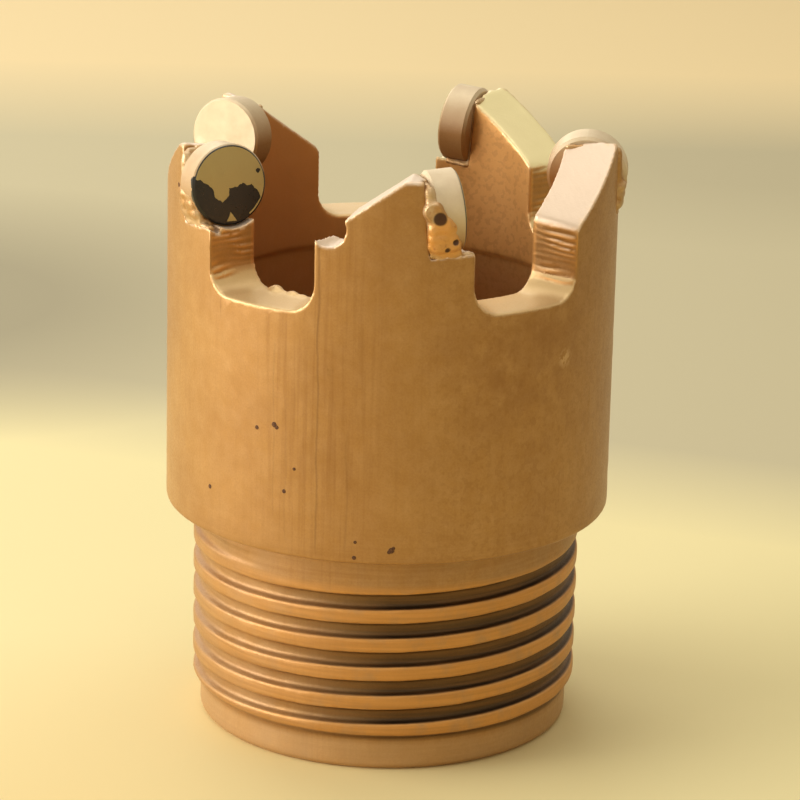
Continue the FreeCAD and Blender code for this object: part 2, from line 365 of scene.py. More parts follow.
def bronze_paint_on_milled_steel(colours):
    """Sprayed bronze paint: satin, with metal flake in it, so that it brightens
    towards the light and keeps a fine grain. It is thin on the shank and worn to greasy steel in
    the thread's grooves, with painted shade there that fades towards the left. The crown's inside is
    painted lighter and oranger, and its left wall and the bore below the step redder and darker,
    as painted light and shade; tops, edges and mill ridges get painted highlights, hollows painted shade."""
    made, where = new_material("bronze_paint_on_milled_steel")
    tone, rough, height = paint_layers(colours, where)
    parts = put(where, "ShaderNodeSeparateXYZ", {"Vector": where}).outputs
    radius, side, level = from_axis(parts), parts["X"], parts["Z"]
    top, ridge_highlight, rubbed, hollow_shade_and_dirt = (
        put(where, "ShaderNodeAttribute", attribute_name=name).outputs["Fac"]
        for name in ("top", "ridge_highlight", "rubbed", "hollow_shade_and_dirt"))

    # inside, and down the barrel
    inside = ramp(radius, SHANK_BORE + 0.2 * MM, SHANK_BORE - 0.3 * MM)
    outside = combine("SUBTRACT", 1.0, inside)
    # the crown's left inner wall and the bore below the step get darker, redder paint as painted shade
    shaded_left_inside = ramp(side, 0.0, -18 * MM)
    shaded_deep_bore = ramp(level, BORE_STEP - 0.5 * MM, BORE_STEP - 4 * MM)
    streaks = product(spots(stretched(where, UPRIGHT), 0.8, 0.45, 0.7, detail=3.0),
                      patch(stretched(where, FLAT), polar(-18.5, GAUGE_RADIUS, 0), 12, 7))
    pebbles = product(spots(where, 1.0, 0.52, 0.62, detail=1.0),
                      ramp(side, 0.0, 12 * MM))
    bruise = product(spots(where, 0.9, 0.42, 0.5),
                     patch(where, polar(49.2, GAUGE_RADIUS, 70.8 * MM), 1.9, 0.9))
    stain = product(spots(where, 3.5, 0.32, 0.6),
                    patch(where, polar(36, GAUGE_RADIUS, 73 * MM), 19, 6))

    # on the shank and its thread
    shank = product(outside, ramp(level, SHOULDER + 0.3 * MM, SHOULDER - 0.4 * MM))
    worn = product(shank, spots(where, 7, 0.3, 0.6))
    over_pilot = ramp(level, PILOT_TOP - 0.4 * MM, PILOT_TOP + 0.4 * MM)
    # fades out towards the lit left, so the brighter crests on the right are painted light
    crest = product(over_pilot, ramp(level, THREAD_END, THREAD_END - 1.5 * MM),
                    ramp(radius, NECK_RADIUS - 0.35 * MM, NECK_RADIUS - 0.15 * MM),
                    ramp(side, -42 * MM, 0.0))
    foot = product(outside, ramp(level, PILOT_TOP - 0.2 * MM, PILOT_TOP - 1.4 * MM))
    # the grooves darker towards the right, greasy steel and painted shade, darkest along each groove's
    # lower edge
    grease = product(shank, over_pilot, ramp(side, -23 * MM, 1 * MM, 0.04),
                     ramp(radius, NECK_RADIUS - 0.15 * MM, NECK_RADIUS - 0.55 * MM))
    grime_and_shade_line = product(grease, ramp(groove_rise(parts), 0.75, 0.05),
                     ramp(side, -16 * MM, 2 * MM))
    turned = product(spots(stretched(where, AROUND), 0.55, 0.35, 0.7, detail=2.0),
                     ramp(level, 48 * MM, 36 * MM), ramp(foot, 1.6, 0.0))

    # on the gaps' floors and the teeth's tops, which face up: paler paint there is a painted highlight
    sloping = ramp(level, FLOOR_HEIGHT + 3 * MM, FLOOR_HEIGHT + 6 * MM)
    # a paler patch on the far right tooth's land, a painted highlight
    far_land_highlight = patch(where, polar(138, 33 * MM, 98 * MM), 24, 16)
    painted_light_on_tops = coat(colours.gap, (sloping, colours.top, 1.0), (far_land_highlight, colours.thick, 1.0))

    tone = coat(tone,
                # the inside lighter and oranger, painted light
                (inside, colours.inner, 0.65),
                # painted shade on the left inner wall and deep in the bore
                (product(inside, shaded_left_inside), colours.bore, 0.5),
                (product(inside, shaded_deep_bore), colours.bore, 0.75),
                (streaks, colours.paint_deep, 0.32),
                (pebbles, colours.paint_deep, 0.22),
                (product(scratches(parts, where), outside), colours.speck, 0.5),
                (bruise, colours.paint_pale, 0.6),
                (stain, colours.paint_deep, 0.5),
                (worn, colours.worn, 0.4),
                (crest, colours.crest, 0.7),
                (product(crest, spots(where, 4, 0.5, 0.7)), colours.worn, 0.5),
                (foot, colours.paint_pale, 0.3),
                # greasy steel and painted shade in the grooves
                (grease, colours.grime_and_shade, 0.85),
                (grime_and_shade_line, colours.groove_grime_and_shade, 0.9),
                (turned, colours.paint_deep, 0.3),
                (top, painted_light_on_tops, 0.95),
                # the mill marks' ridges painted oranger and lighter, a painted highlight
                (ridge_highlight, colours.crest, 0.7),
                # paler rubbed edges are wear and a painted highlight; darker hollows are painted shade and
                # dirt
                (product(rubbed, ramp(shank, 1.6, 0.0)), colours.paint_pale, 0.8),
                (product(hollow_shade_and_dirt, ramp(shank, 1.0, 0.0)), colours.paint_deep, 0.5))
    metallic = ramp(grease, 0.0, 1.0, PAINT_METAL, GREASE_METAL)
    rough = combine("ADD", rough, product(shank, 0.08))
    height = combine("ADD", height, product(turned, 0.6))
    show(satin(tone, rough, height, metallic, 0.3, 0.05 * MM))
    return made


def bronze_paint_on_ground_carbide(colours):
    """The same paint over ground carbide: smoother, because the stud under it is, and
    cream, because it lies thick."""
    made, where = new_material("bronze_paint_on_ground_carbide")
    tone, rough, height = cream_layers(colours, where, cream_where_lit(where))
    show(satin(tone, rough, height, CREAM_METAL, 0.2, 0.04 * MM))
    return made


def thick_paint_on_lapped_diamond(colours):
    """The same paint on a face that took it well: cream, smooth and whole."""
    made, where = new_material("thick_paint_on_lapped_diamond")
    tone, rough, height = cream_layers(colours, where)
    show(satin(tone, rough, height, CREAM_METAL, 0.2, 0.04 * MM))
    return made


def thin_paint_on_lapped_diamond(colours):
    """The same paint on a cutter's polished face: thin, dull and greenish, with a
    grain, since it never took there."""
    made, where = new_material("thin_paint_on_lapped_diamond")
    tone, rough, height = paint_layers(colours, where)
    tone = coat(tone, (spots(where, 2, 0.1, 0.35), colours.film, 0.96))
    show(satin(tone, rough, height, 0.3, 0.3, 0.04 * MM))
    return made


def bronze_paint_on_silver_braze(colours):
    """The same paint over silver braze that has run and set: glossier, with brown
    flux left in its pores."""
    made, where = new_material("bronze_paint_on_silver_braze")
    tone, rough, height = paint_layers(colours, where)
    # a brighter, oranger strip under the second cutter: braze, with a painted highlight where it faces up
    # into the light
    bare = patch(where, on_seat(cutter_seat(2), 6.0, -3.0, 3.0), 4.2, 3.2)
    pore_flux_and_shade = put(where, "ShaderNodeAttribute", attribute_name="pore_flux_and_shade").outputs["Fac"]
    tone = coat(tone,
                (spots(where, 3, 0.4, 0.6), colours.cream, 0.5),
                (bare, colours.crest, 0.8),
                (spots(where, 0.8, 0.62, 0.75, detail=3.0), colours.bore, 0.6),
                # dark pores: flux, and painted shade in the large one
                (pore_flux_and_shade, colours.speck, 0.95))
    show(satin(tone, rough, height, PAINT_METAL, 0.5, 0.08 * MM))
    return made


# How far down each cutter's rim the paint reaches, from its middle, and how far
# behind the face it stops there, in millimetres
RIM_PAINT = {1: (1.5, 0.1), 2: (-6.9, 0.12), 3: (1.0, 0.3), 4: (-6.0, -0.2), 5: (-5.0, -0.2)}


def lapped_black_diamond(colours, number):
    """Polycrystalline diamond as it was lapped: black and glossy, with a faint
    grain. Paint is left on the back of its rim, and further forward near the top."""
    made, where = new_material(f"lapped_black_diamond_{number}")
    face, outward, normal, up = cutter_seat(number)
    turn = Matrix((up, outward, normal)).transposed().to_euler()
    seat = put(where, "ShaderNodeMapping", {"Vector": where, "Location": face, "Rotation": turn},
               vector_type="TEXTURE").outputs["Vector"]
    parts = put(where, "ShaderNodeSeparateXYZ", {"Vector": seat}).outputs
    grain = spots(where, 0.3, 0.3, 0.8)
    bare_rough = ramp(grain, 0.0, 1.0, 0.26, 0.42)
    bare = satin(colours.diamond, bare_rough, grain, 0.0, 0.1, 0.01 * MM)
    tone, rough, height = cream_layers(colours, where, cream_where_lit(where))
    paint = satin(tone, rough, height, CREAM_METAL, 0.3, 0.04 * MM)
    torn = wavering(where, 1.6, 2.4)
    back = ramp(combine("SUBTRACT", torn, parts["Z"]), 0.75 * MM, 0.85 * MM)
    lowest, foremost = (distance * MM for distance in RIM_PAINT[number])
    high = ramp(combine("ADD", parts["X"], torn), lowest, lowest + 0.2 * MM)
    rim = ramp(product(parts["Z"], -1.0), foremost, foremost + 0.1 * MM)
    covered = combine("MAXIMUM", back, product(high, rim))
    show(put(where, "ShaderNodeMixShader", {0: covered, 1: bare.outputs[0], 2: paint.outputs[0]}))
    return made


def rust_in_a_paint_chip(colours):
    """Bare steel gone brown where a fleck of paint has come off: dull and rough."""
    made, where = new_material("rust_in_a_paint_chip")
    grain = spots(where, 0.25, 0.3, 0.7)
    tone = coat(colours.speck, (grain, colours.paint_deep, 0.5))
    show(satin(tone, 0.85, grain, 0.0, 0.6, 0.05 * MM))
    return made


# Meshes

def polar(angle, radius, height):
    """A point at an angle from the front, a radius and a height."""
    turn = math.radians(angle)
    return Vector((radius * math.sin(turn), -radius * math.cos(turn), height))


def new_piece(name, mesh):
    """An object for a mesh, in the scene."""
    piece = bpy.data.objects.new(name, mesh)
    bpy.context.scene.collection.objects.link(piece)
    return piece


def merged_copy(node):
    """A copy of a solid's mesh with its loose triangles joined."""
    work = bmesh.new()
    work.from_mesh(NODES[node].data)
    bmesh.ops.remove_doubles(work, verts=work.verts, dist=2e-6)
    mesh = bpy.data.meshes.new(node + "_copy")
    work.to_mesh(mesh)
    work.free()
    return mesh


def with_lumps(mesh, lumps):
    """Adds loose points to a mesh, each with the radius of the lump that goes there."""
    count = len(mesh.vertices)
    mesh.vertices.add(len(lumps))
    for index, (point, _) in enumerate(lumps):
        mesh.vertices[count + index].co = point
    radii = [0.0] * count + [radius for _, radius in lumps]
    attribute = mesh.attributes.new("lump", "FLOAT", "POINT")
    attribute.data.foreach_set("value", radii)
    return mesh


def lump_tree():
    """Geometry nodes: a lump of uneven size on each point that carries a radius."""
    tree = bpy.data.node_groups.new("lumps_on_points", "GeometryNodeTree")
    for name, kind in (("Geometry", "Geometry"), ("Smallest", "Float"), ("Largest", "Float"),
                       ("Flatness", "Float"), ("Seed", "Int"), ("Material", "Material")):
        tree.interface.new_socket(name, in_out="INPUT", socket_type="NodeSocket" + kind)
    tree.interface.new_socket("Geometry", in_out="OUTPUT", socket_type="NodeSocketGeometry")
    given = tree.nodes.new("NodeGroupInput").outputs
    radius = put(tree, "GeometryNodeInputNamedAttribute", {"Name": "lump"}, data_type="FLOAT")
    marked = put(tree, "FunctionNodeCompare", {0: radius.outputs[0], 1: 0.0}, operation="GREATER_THAN")
    place = put(tree, "GeometryNodeInputPosition").outputs[0]
    sideways = put(tree, "ShaderNodeVectorMath", {0: place, 1: (1, 1, 0)}, operation="MULTIPLY")
    facing = put(tree, "FunctionNodeAlignRotationToVector", {"Vector": sideways.outputs[0]}, axis="Z")
    uneven = put(tree, "FunctionNodeRandomValue", {
        2: given["Smallest"], 3: given["Largest"], "Seed": given["Seed"]}, data_type="FLOAT")
    size = product(radius.outputs[0], uneven.outputs[1])
    depth = product(size, given["Flatness"])
    scale = put(tree, "ShaderNodeCombineXYZ", {"X": size, "Y": size, "Z": depth})
    ball = put(tree, "GeometryNodeMeshIcoSphere", {"Radius": 1.0, "Subdivisions": 3})
    lumps = put(tree, "GeometryNodeInstanceOnPoints", {
        "Points": given["Geometry"], "Selection": marked.outputs[0], "Instance": ball.outputs["Mesh"],
        "Rotation": facing.outputs[0], "Scale": scale.outputs[0]})
    joined = put(tree, "GeometryNodeJoinGeometry", {"Geometry": lumps.outputs[0]})
    tree.links.new(given["Geometry"], joined.inputs[0])
    real = put(tree, "GeometryNodeRealizeInstances", {"Geometry": joined.outputs[0]})
    coated = put(tree, "GeometryNodeSetMaterial", {
        "Geometry": real.outputs[0], "Material": given["Material"]})
    put(tree, "NodeGroupOutput", {"Geometry": coated.outputs[0]})
    return tree


def plain(piece):
    """Turns a piece's modifiers into its mesh, and takes them off."""
    graph = bpy.context.evaluated_depsgraph_get()
    mesh = bpy.data.meshes.new_from_object(piece.evaluated_get(graph))
    old = piece.data
    piece.modifiers.clear()
    piece.data = mesh
    bpy.data.meshes.remove(old)
    return piece


def grown(name, mesh, material, values, grid=0.0, rounds=0):
    """A piece from a mesh with lump points, its lumps joined to it on a fine grid and smoothed."""
    piece = new_piece(name, mesh)
    tree = bpy.data.node_groups.get("lumps_on_points") or lump_tree()
    modifier = piece.modifiers.new("Lumps", "NODES")
    modifier.node_group = tree
    sockets = {item.name: item.identifier for item in tree.interface.items_tree
               if item.in_out == "INPUT"}
    for key, value in {"Flatness": 1.0, **values, "Material": material}.items():
        modifier[sockets[key]] = value
    if grid:
        join = piece.modifiers.new("Join", "REMESH")
        join.mode = "VOXEL"
        join.voxel_size = grid
    if rounds:
        smooth = piece.modifiers.new("Round", "SMOOTH")
        smooth.factor = 0.5
        smooth.iterations = rounds
    return plain(piece)


def paint_all(mesh, material):
    """Gives a mesh one material, and no other."""
    mesh.materials.clear()
    mesh.materials.append(material)


def dress(piece, material, slot, *stands_for):
    """Gives a finished piece its material and its body, and hides the solids that it stands for."""
    paint_all(piece.data, material)
    piece.data.polygons.foreach_set("use_smooth", [True] * len(piece.data.polygons))
    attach(piece, "root")
    if stands_for:
        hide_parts(*stands_for)
    return piece


def read(items, name, width, kind=np.float32):
    """What Blender holds of each item, as rows of numbers."""
    values = np.empty(len(items) * width, kind)
    items.foreach_get(name, values)
    return values.reshape(-1, width)


def coordinates(mesh):
    """A mesh's points and their normals."""
    return (read(mesh.vertices, "co", 3).astype(float),
            read(mesh.vertex_normals, "vector", 3).astype(float))


def move(mesh, points):
    """Puts a mesh's points where they are wanted."""
    mesh.vertices.foreach_set("co", points.astype(np.float32).ravel())
    mesh.update()


def keep_in_box(mesh):
    """Keeps a mesh within the solids' box."""
    points, _ = coordinates(mesh)
    move(mesh, np.clip(points, np.array(CAD_BOX[0]), np.array(CAD_BOX[1])))


def around(points):
    """Each point's distance from the bore's axis, and its angle in radians from the front."""
    return np.hypot(points[:, 0], points[:, 1]), np.arctan2(points[:, 0], -points[:, 1])


def mark(mesh, name, values):
    """Stores a number from nought to one at each point of a mesh."""
    attribute = mesh.attributes.new(name, "FLOAT", "POINT")
    attribute.data.foreach_set("value", values.astype(np.float32))


def waves(points, size, seed, count=14):
    """Smooth uneven heights between about -1 and 1, whose bumps are of a size in metres."""
    dice = np.random.default_rng(seed)
    total = np.zeros(len(points))
    for _ in range(count):
        way = dice.normal(size=3)
        way /= np.linalg.norm(way)
        pitch = 2 * math.pi / (size * dice.uniform(0.7, 1.6))
        total += np.sin(points @ way * pitch + dice.uniform(0, 2 * math.pi))
    return total / math.sqrt(count)


def step(values, low, high):
    """Nought below low, one above high, and a smooth rise between."""
    share = np.clip((values - low) / (high - low), 0, 1)
    return share * share * (3 - 2 * share)


def neighbour_sums(values, ends):
    """The sum of the values of each point's neighbours."""
    total = np.zeros_like(values)
    for here, there in ((0, 1), (1, 0)):
        np.add.at(total, ends[:, here], values[ends[:, there]])
    return total


def curvature(mesh):
    """How far each point stands out of its neighbours, in parts of their distance."""
    points, normals = coordinates(mesh)
    ends = read(mesh.edges, "vertices", 2, np.int32)
    number = np.maximum(neighbour_sums(np.ones(len(points)), ends), 1)
    offset = points - neighbour_sums(points, ends) / number[:, None]
    span = np.linalg.norm(points[ends[:, 0]] - points[ends[:, 1]], axis=1)
    reach = np.zeros(len(points))
    for here in (0, 1):
        np.add.at(reach, ends[:, here], span)
    return np.einsum("ij,ij->i", offset, normals) / np.maximum(reach / number, 1e-9), ends


def spread(values, ends):
    """Averages values with their neighbours."""
    number = neighbour_sums(np.ones(len(values)), ends) + 1
    return (values + neighbour_sums(values, ends)) / number


def milling(points, normals, sizes):
    """How far each point belongs to a wall that the end mill cut, and its mark's height there."""
    radius, _ = around(points)
    height = points[:, 2]
    round_way = np.stack([-points[:, 1], points[:, 0]], 1) / radius[:, None]
    sideways = np.abs((normals[:, :2] * round_way).sum(1))
    crown = step(height, FLOOR_HEIGHT + 0.5 * MM, FLOOR_HEIGHT + 2 * MM)
    uneven = waves(points, 6 * MM, sizes.seed + 1)
    outer = 0.35 + 0.65 * step(radius + uneven * 1.5 * MM, 31 * MM, 34.5 * MM)
    strength = outer * (0.7 + 0.5 * np.clip(uneven, -1, 1))
    ripple = np.sin(2 * math.pi * height / sizes.mill_step + uneven * 1.6)
    return step(sideways, 0.72, 0.92) * crown * strength, ripple


def mark_wear(mesh, sizes):
    """Stores where edges are rubbed and get a painted highlight, where hollows get painted shade and dirt,
    the mill marks' ridges that get a painted highlight, and the crown's upward-facing tops that get a
    painted highlight.
    """
    bend, ends = curvature(mesh)
    bend = spread(bend, ends)
    points, normals = coordinates(mesh)
    crown = step(points[:, 2], FLOOR_HEIGHT - 2 * MM, FLOOR_HEIGHT)
    lands = 0.8 + 0.2 * step(points[:, 2], FLOOR_HEIGHT + 3 * MM, FLOOR_HEIGHT + 6 * MM)
    # how far the crown's surfaces face up, for their painted highlight
    mark(mesh, "top", step(normals[:, 2], 0.12, 0.5) * crown * lands)
    walls, ripple = milling(points, normals, sizes)
    # share of each mill ripple's ridge, for its painted highlight
    mark(mesh, "ridge_highlight", np.clip(walls * (0.5 + 0.7 * ripple), 0, 1))
    # convex edges: wear and a painted highlight; concave hollows: painted shade and dirt
    mark(mesh, "rubbed", step(bend, 0.05, 0.22))
    mark(mesh, "hollow_shade_and_dirt", step(-bend, 0.05, 0.22))


def cutter_seat(number):
    """Centre of a cutter's face, and its outward, normal and up directions."""
    disc = np.array([v.co for v in NODES[f"diamond_table_{number}"].data.vertices])
    stud = np.array([v.co for v in NODES[f"carbide_stud_{number}"].data.vertices])
    middle = (disc.max(0) + disc.min(0)) / 2
    away = disc.mean(0) - stud.mean(0)
    normal = Vector(away).normalized()
    ahead = float((disc @ np.array(normal)).max() - middle @ np.array(normal))
    up = (Vector((0, 0, 1)) - normal * normal.z).normalized()
    return Vector(middle) + normal * ahead, normal.cross(up).normalized(), normal, up


def on_seat(seat, out, rise, behind=0.0):
    """A point in millimetres across, up and behind a cutter's face."""
    face, outward, normal, up = seat
    return face + outward * out * MM + up * rise * MM - normal * behind * MM


def run(seat, start, end, radius, spacing=0.35):
    """Lumps along a straight run beside a cutter, with the radius in millimetres."""
    first, last = on_seat(seat, *start), on_seat(seat, *end)
    count = max(2, round((last - first).length / (spacing * MM)))
    return [(first.lerp(last, index / (count - 1)), radius * MM) for index in range(count)]


def jittered(lumps, dice, amount):
    """Lumps moved a little, each by chance."""
    moved = []
    for point, radius in lumps:
        nudge = Vector([dice.uniform(-1, 1) for _ in range(3)]) * amount * MM
        moved.append((point + nudge, radius))
    return moved


# Burrs along the first gap's floor: angle, and radius in millimetres
FLOOR_BURRS = [(-42.4, 0.5), (-41.6, 0.8), (-40.8, 1.1), (-39.9, 1.35), (-39.0, 1.1), (-38.2, 0.75),
               (-37.3, 0.6), (-36.4, 0.75), (-35.5, 0.6), (-34.4, 0.55), (-33.4, 0.8), (-32.4, 0.85),
               (-31.4, 0.7), (-30.4, 0.6), (-29.4, 0.7), (-28.5, 0.5)]


TOP_MARK_STEP = 1.4 * MM       # spacing of the mill's marks on the teeth's tops
TOP_MARK_DEPTH = 0.012 * MM
PAINT_DEPTH = 0.015 * MM       # the paint's unevenness
STANDING_EDGE = 1.5 * MM       # below this height the shank's end stays as it is


class COREBIT_OT_body(bpy.types.Operator):
    """Makes the painted body, with dulled edges, mill marks and burrs"""
    bl_idname = "corebit.body"
    bl_label = "Painted body"

    def execute(self, context):
        sizes = context.scene.bit_sizes
        colours = context.scene.bit_colours
        material = bronze_paint_on_milled_steel(colours)
        burrs = [(polar(angle, CROWN_BORE + 0.5 * MM, FLOOR_HEIGHT - 0.3 * MM), size * MM)
                 for angle, size in FLOOR_BURRS]
        mesh = with_lumps(merged_copy("steel_body"), burrs)
        grid = sizes.body_grid * 1.0
        body = grown("body_painted", mesh, material,
                     {"Smallest": 0.8, "Largest": 1.15, "Seed": sizes.seed}, grid, 5)
        self.fade_run_out(body.data)
        self.mill_marks(body.data, sizes)
        thin = body.modifiers.new("Thin", "DECIMATE")
        thin.ratio = min(1.0, sizes.body_faces / (2 * len(body.data.polygons)))
        body = plain(body)
        keep_in_box(body.data)
        mark_wear(body.data, sizes)
        dress(body, material, "painted_steel", "steel_body")
        return {"FINISHED"}

    def fade_run_out(self, mesh):
        """Lets the thread's groove die away in the neck, as the tool drew back."""
        points, _ = coordinates(mesh)
        radius, turn = around(points)
        turn = np.degrees(turn)
        height = points[:, 2]
        last_turn = (height > 32.4 * MM) * (height < 37.5 * MM) * (turn < -20)
        groove = (radius > 31.8 * MM) * (radius < NECK_RADIUS)
        share = step(turn, -75, -30) * last_turn * groove
        points[:, :2] *= (1 + share * (NECK_RADIUS / radius - 1))[:, None]
        move(mesh, points)

    def mill_marks(self, mesh, sizes):
        """Moves the points in and out by the marks of the mill and the paint's unevenness."""
        points, normals = coordinates(mesh)
        radius, turn = around(points)
        height = points[:, 2]
        uneven = waves(points, 6 * MM, sizes.seed + 1)
        walls, ripple = milling(points, normals, sizes)
        inland = step(GAUGE_RADIUS - radius, 0.1 * MM, 1.3 * MM)
        shift = walls * ripple * inland * sizes.mill_depth
        tops = step(normals[:, 2], 0.5, 0.8) * step(height, FLOOR_HEIGHT - 2 * MM, FLOOR_HEIGHT)
        cuts = np.sin(2 * math.pi * turn * radius / TOP_MARK_STEP + uneven * 2)
        shift += tops * cuts * TOP_MARK_DEPTH
        shift += waves(points, 4 * MM, sizes.seed + 2) * PAINT_DEPTH
        shift *= height > STANDING_EDGE
        move(mesh, points + normals * shift[:, None])


FACE_EDGE = 6.3                # the film stops just inside the diamond's chamfer
CREAM_FACES = (3, 5)           # the cutters whose faces took the paint well


def rim_arc(start, end):
    """Points along a face's edge between two angles, in millimetres."""
    count = max(3, round(abs(end - start) / 6))
    turns = [math.radians(start + (end - start) * index / count) for index in range(count + 1)]
    return [(FACE_EDGE * math.cos(turn), FACE_EDGE * math.sin(turn)) for turn in turns]


def ring(out, rise, radius):
    """A small rough circle, in millimetres."""
    turns = [math.radians(30 * index) for index in range(12)]
    return [(out + radius * math.cos(turn) * (1 + 0.2 * math.sin(3 * turn)),
             rise + radius * math.sin(turn)) for turn in turns]


# Where paint is left on each cutter's face, in millimetres outwards and up from its
# middle: the torn lower edge from the outer rim to the inner one, loose flakes and holes
TORN_EDGES = {
    1: [(5.42, 1.31), (4.17, 0.53), (3.1, -0.41), (2.79, -1.77), (2.07, -2.34), (1.35, -2.75),
        (0.22, -1.87), (0.17, -0.55), (-1.49, -0.39), (-2.43, 0.17), (-3.15, -0.4), (-3.9, -0.23),
        (-4.62, -0.88), (-5.5, -1.83), (-5.6, -2.66), (-5.1, -3.3), (-4.3, -4.3), (-3.4, -5.0)],
    2: [(5.2, -0.6), (4.1, -1.4), (3.0, -0.7), (1.8, -1.5), (0.7, -2.8), (-0.6, -2.2), (-1.6, -0.8),
        (-2.9, -1.2), (-4.2, -0.3), (-5.3, -0.9)],
    3: [(4.9, 1.9), (3.8, 0.8), (2.2, 1.2), (1.1, -0.3), (-0.2, -1.1), (-1.4, 0.2), (-2.7, 0.9),
        (-3.6, -0.4), (-5.0, 0.3)],
    4: [(3.4, -4.4), (2.3, -3.9), (1.2, -4.6), (0.1, -4.0), (-1.0, -4.7), (-2.2, -4.9)],
    5: [(2.6, -5.0), (1.5, -4.4), (0.3, -5.2), (-0.9, -5.0), (-1.8, -5.4)],
}
LOOSE_FLAKES = {
    1: [[(-0.06, -4.56), (0.74, -6.0), (-1.1, -6.05)]],
    2: [ring(2.4, -4.4, 0.7)],
    3: [ring(-2.2, -3.1, 0.9), ring(3.3, -3.0, 0.5)],
    4: [],
    5: [],
}
FILM_HOLES = {
    1: [ring(-5.27, 1.87, 0.42)],
    2: [ring(-2.0, 2.4, 0.45), ring(1.2, 3.9, 0.3)],
    3: [ring(0.8, 4.0, 0.4)],
    4: [ring(-1.5, 1.6, 0.6), ring(2.8, 0.4, 0.35)],
    5: [ring(1.8, -2.2, 0.35)],
}


def roughened(outline, dice, amount):
    """An outline with points added along its sides, each moved a little, and kept on the face."""
    rough = []
    for (x0, y0), (x1, y1) in zip(outline, outline[1:] + outline[:1]):
        count = max(1, round(math.hypot(x1 - x0, y1 - y0) / 0.3))
        for index in range(count):
            share = index / count
            x, y = x0 + (x1 - x0) * share, y0 + (y1 - y0) * share
            if math.hypot(x, y) < FACE_EDGE - 0.3:
                x += dice.uniform(-amount, amount)
                y += dice.uniform(-amount, amount)
            rough.append((x, y))
    return rough


def within(point, outline):
    """Whether a point lies in an outline."""
    x, y = point
    found = False
    for (x0, y0), (x1, y1) in zip(outline, outline[1:] + outline[:1]):
        if (y0 > y) != (y1 > y) and x < (x1 - x0) * (y - y0) / (y1 - y0) + x0:
            found = not found
    return found


class COREBIT_OT_cutters(bpy.types.Operator):
    """Finishes the carbide studs and diamond tables, and paints what is left on their faces"""
    bl_idname = "corebit.cutters"
    bl_label = "Cutters"

    def execute(self, context):
        colours = context.scene.bit_colours
        sizes = context.scene.bit_sizes
        stud_paint = bronze_paint_on_ground_carbide(colours)
        thin_film = thin_paint_on_lapped_diamond(colours)
        thick_film = thick_paint_on_lapped_diamond(colours)
        for number in CUTTERS:
            paint_all(NODES[f"carbide_stud_{number}"].data, stud_paint)
            paint_all(NODES[f"diamond_table_{number}"].data, lapped_black_diamond(colours, number))
            self.film(number, thick_film if number in CREAM_FACES else thin_film, sizes)
        return {"FINISHED"}

    def film(self, number, material, sizes):
        """The ragged film of paint that still sticks to a cutter's face."""
        dice = random.Random(sizes.seed + number)
        torn = TORN_EDGES[number]
        start = math.degrees(math.atan2(torn[-1][1], torn[-1][0])) % 360
        end = math.degrees(math.atan2(torn[0][1], torn[0][0]))
        edges = [roughened(torn + rim_arc(start, end), dice, 0.09)]
        edges += [roughened(flake, dice, 0.05) for flake in LOOSE_FLAKES[number]]
        holes = [roughened(hole, dice, 0.04) for hole in FILM_HOLES[number]]
        flat, links = [], []
        for outline in edges + holes:
            base = len(flat)
            flat += [Vector(point) for point in outline]
            links += [(base + index, base + (index + 1) % len(outline)) for index in range(len(outline))]
        flat += [Vector((dice.uniform(-6, 6), dice.uniform(-6, 6))) for _ in range(160)]
        corners, _, triangles, *_ = delaunay_2d_cdt(flat, links, [], 0, 1e-5)
        seat = cutter_seat(number)
        work = bmesh.new()
        low = {}
        for triangle in triangles:
            middle = sum((corners[index] for index in triangle), Vector((0, 0))) / 3
            covered = any(within(middle, edge) for edge in edges)
            if not covered or any(within(middle, hole) for hole in holes):
                continue
            for index in triangle:
                if index not in low:
                    low[index] = work.verts.new(on_seat(seat, *corners[index], 0.01))
            work.faces.new([low[index] for index in triangle])
        lifted = bmesh.ops.extrude_face_region(work, geom=work.faces[:], use_keep_orig=True)["geom"]
        for corner in lifted:
            if isinstance(corner, bmesh.types.BMVert):
                corner.co += seat[2] * sizes.film * dice.uniform(0.8, 1.2)
        bmesh.ops.recalc_face_normals(work, faces=work.faces[:])
        mesh = bpy.data.meshes.new(f"paint_film_{number}")
        work.to_mesh(mesh)
        work.free()
        dress(new_piece(f"paint_film_{number}", mesh), material, "painted_steel")
        mesh.set_sharp_from_angle(angle=math.radians(40))


# Braze beside each cutter: ends as (outwards, up, behind the face) and the bead's radius,
# all in millimetres
BRAZE_RUNS = [
    ((4.9, 4.6, 5.35), (5.2, -4.0, 5.35), 0.95),
    ((4.4, 5.4, 5.6), (-3.2, 5.1, 5.6), 0.5),
    ((5.45, -1.3, 5.2), (5.4, -1.5, 2.2), 1.25),
    ((5.3, -2.9, 5.2), (5.25, -2.9, 2.4), 1.25),
    ((4.9, -4.3, 5.3), (4.9, -4.3, 2.2), 1.35),
    ((3.9, -6.0, 5.4), (3.7, -6.2, 1.6), 1.05),
    ((4.9, -6.2, 4.8), (4.3, -6.75, -0.9), 0.65),
    ((-3.6, -6.3, 5.0), (-3.6, -6.3, 1.4), 0.5),
]
PORE_COLLAR = [((5.1, 1.5, 5.0), (5.3, 0.5, 4.4), 1.85), ((5.3, 0.5, 4.4), (5.3, -1.2, 3.0), 1.75)]
STUD_RADIUS = 6.72             # in millimetres

# Pores that the braze left open: where, radius and depth
PORES = {
    1: [((5.6, 4.7, 5.9), 0.45, 0.3)],
    # the large, shallow pore by the second cutter is a dark spot painted as the shade of an open hole
    2: [((7.0, 0.5, 4.4), 1.25, 0.1), ((5.6, -5.0, 3.3), 0.5, 0.3), ((6.0, -3.8, 1.9), 0.6, 0.3)],
    5: [((6.0, 1.0, 5.9), 0.5, 0.3)],
}


